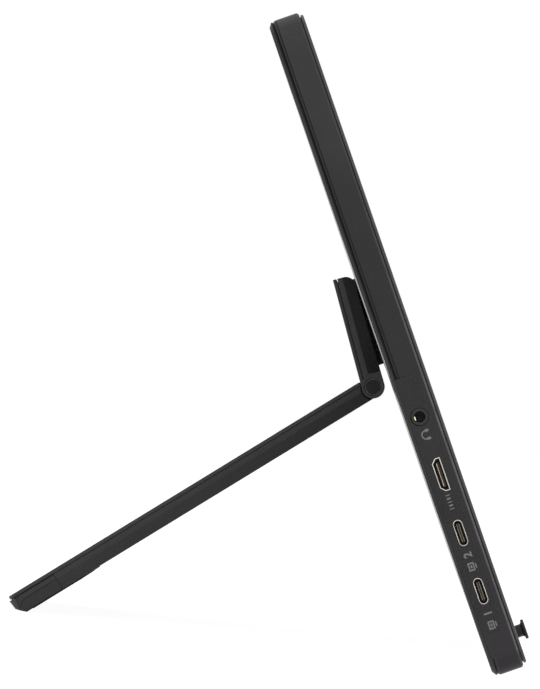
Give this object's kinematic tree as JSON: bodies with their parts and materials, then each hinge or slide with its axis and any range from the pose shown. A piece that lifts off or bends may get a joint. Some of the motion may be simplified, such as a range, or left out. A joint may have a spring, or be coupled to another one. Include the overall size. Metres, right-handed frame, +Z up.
{
  "type": "portable monitor on folding stand",
  "caption": "Thin portable monitor leaning on a two-leaf folding stand that swivels on its back, with side sockets and a joystick on the chin.",
  "frame": {"origin": "centre of the bounding box at the level of the surface that it stands on", "axes": "+X along the screen's width to the viewer's right, the screen faces -Y and leans back towards +Y, +Z up"},
  "size_m": [0.36, 0.1808, 0.2106],
  "materials": {
    "charcoal_case": "fine matt texture",
    "front_trim": "smooth matt",
    "screen_black": "anti-glare",
    "diffuser_film": "satin",
    "guide_clear": "clear",
    "reflector_film": "bright white",
    "flex_amber": "film",
    "led_white": "clear",
    "panel_metal": "satin",
    "board_green": "solder mask",
    "chip_black": "moulded",
    "socket_steel": "plated",
    "tongue_grey": "moulded",
    "jack_black": "moulded",
    "contact_brass": "bright",
    "plain_steel": "satin",
    "stand_shell": "fine matt texture",
    "stand_cover": "bead-blasted, dark",
    "hinge_dark": "smooth",
    "rubber_black": "matt",
    "knob_black": "satin"
  },
  "bodies": {
    "display": {"board_chips": "chip_black", "board_screws": "plain_steel", "bottom_feet": "rubber_black", "chip_shield": "panel_metal", "diffuser_sheet": "diffuser_film", "driver_board": "board_green", "front_plate": "front_trim", "headphone_jack": "jack_black", "jack_contact": "contact_brass", "joystick_board": "board_green", "joystick_housing": "chip_black", "joystick_ribbon": "flex_amber", "joystick_screws": "plain_steel", "led_flex": "flex_amber", "leds": "led_white", "light_guide": "guide_clear", "main_board": "board_green", "mid_frame": "charcoal_case", "oval_socket_shell_lower": "socket_steel", "oval_socket_shell_upper": "socket_steel", "oval_socket_tongue_lower": "tongue_grey", "oval_socket_tongue_upper": "tongue_grey", "panel_ribbon": "flex_amber", "panel_tray": "panel_metal", "rear_cover": "charcoal_case", "reflector_sheet": "reflector_film", "scaler_chip": "chip_black", "screen_glass": "screen_black", "stand_plate": "plain_steel", "stand_plate_screws": "plain_steel", "video_socket_shell": "socket_steel", "video_socket_tongue": "tongue_grey"},
    "turntable": {"turntable_disc": "stand_shell", "turntable_hub": "plain_steel", "hub_washer": "plain_steel", "hub_ring": "plain_steel", "stand_bracket": "plain_steel", "bracket_rivets": "plain_steel"},
    "leaf": {"leaf_shell": "stand_shell", "leaf_cover": "stand_cover", "leaf_pin": "plain_steel", "leaf_sleeve": "plain_steel", "leaf_screws": "plain_steel", "leg_pin": "plain_steel", "hinge_caps": "hinge_dark"},
    "leg": {"leg_shell": "stand_shell", "leg_cover": "stand_cover", "leg_stiffener": "plain_steel", "leg_screws": "plain_steel", "foot_cap": "stand_shell", "foot_pad": "rubber_black"},
    "joystick_plunger": {"joystick_plunger": "knob_black"},
    "joystick_yoke": {"joystick_yoke": "knob_black"},
    "joystick_stick": {"joystick_stem": "knob_black", "joystick_cap": "knob_black"}
  },
  "joints": [
    {"name": "turntable_turn", "type": "hinge", "parent": "display", "child": "turntable", "pos_m": [0, -0.02731, 0.11345], "axis": [0, 0.9103, -0.4139], "range_deg": [-90, 90]},
    {"name": "leaf_tilt", "type": "hinge", "parent": "turntable", "child": "leaf", "pos_m": [0, -0.01798, 0.12503], "axis": [1, 0, 0], "range_deg": [-2.78, 70]},
    {"name": "leg_fold", "type": "hinge", "parent": "leaf", "child": "leg", "pos_m": [0, -0.03078, 0.09052], "axis": [1, 0, 0], "range_deg": [-74.82, 0]},
    {"name": "joystick_press", "type": "slide", "parent": "display", "child": "joystick_plunger", "axis": [0, 0.9103, -0.4139], "range_m": [0, 0.0003], "stiffness_N_per_m": 4000, "springref_m": -0.0002},
    {"name": "joystick_up_down", "type": "hinge", "parent": "joystick_plunger", "child": "joystick_yoke", "pos_m": [-0.15, -0.08353, 0.01301], "axis": [1, 0, 0], "range_deg": [-6, 6], "stiffness_Nm_per_rad": 0.1},
    {"name": "joystick_left_right", "type": "hinge", "parent": "joystick_yoke", "child": "joystick_stick", "pos_m": [-0.15, -0.08353, 0.01301], "axis": [0, 0.4139, 0.9103], "range_deg": [-6, 6], "stiffness_Nm_per_rad": 0.1}
  ]
}
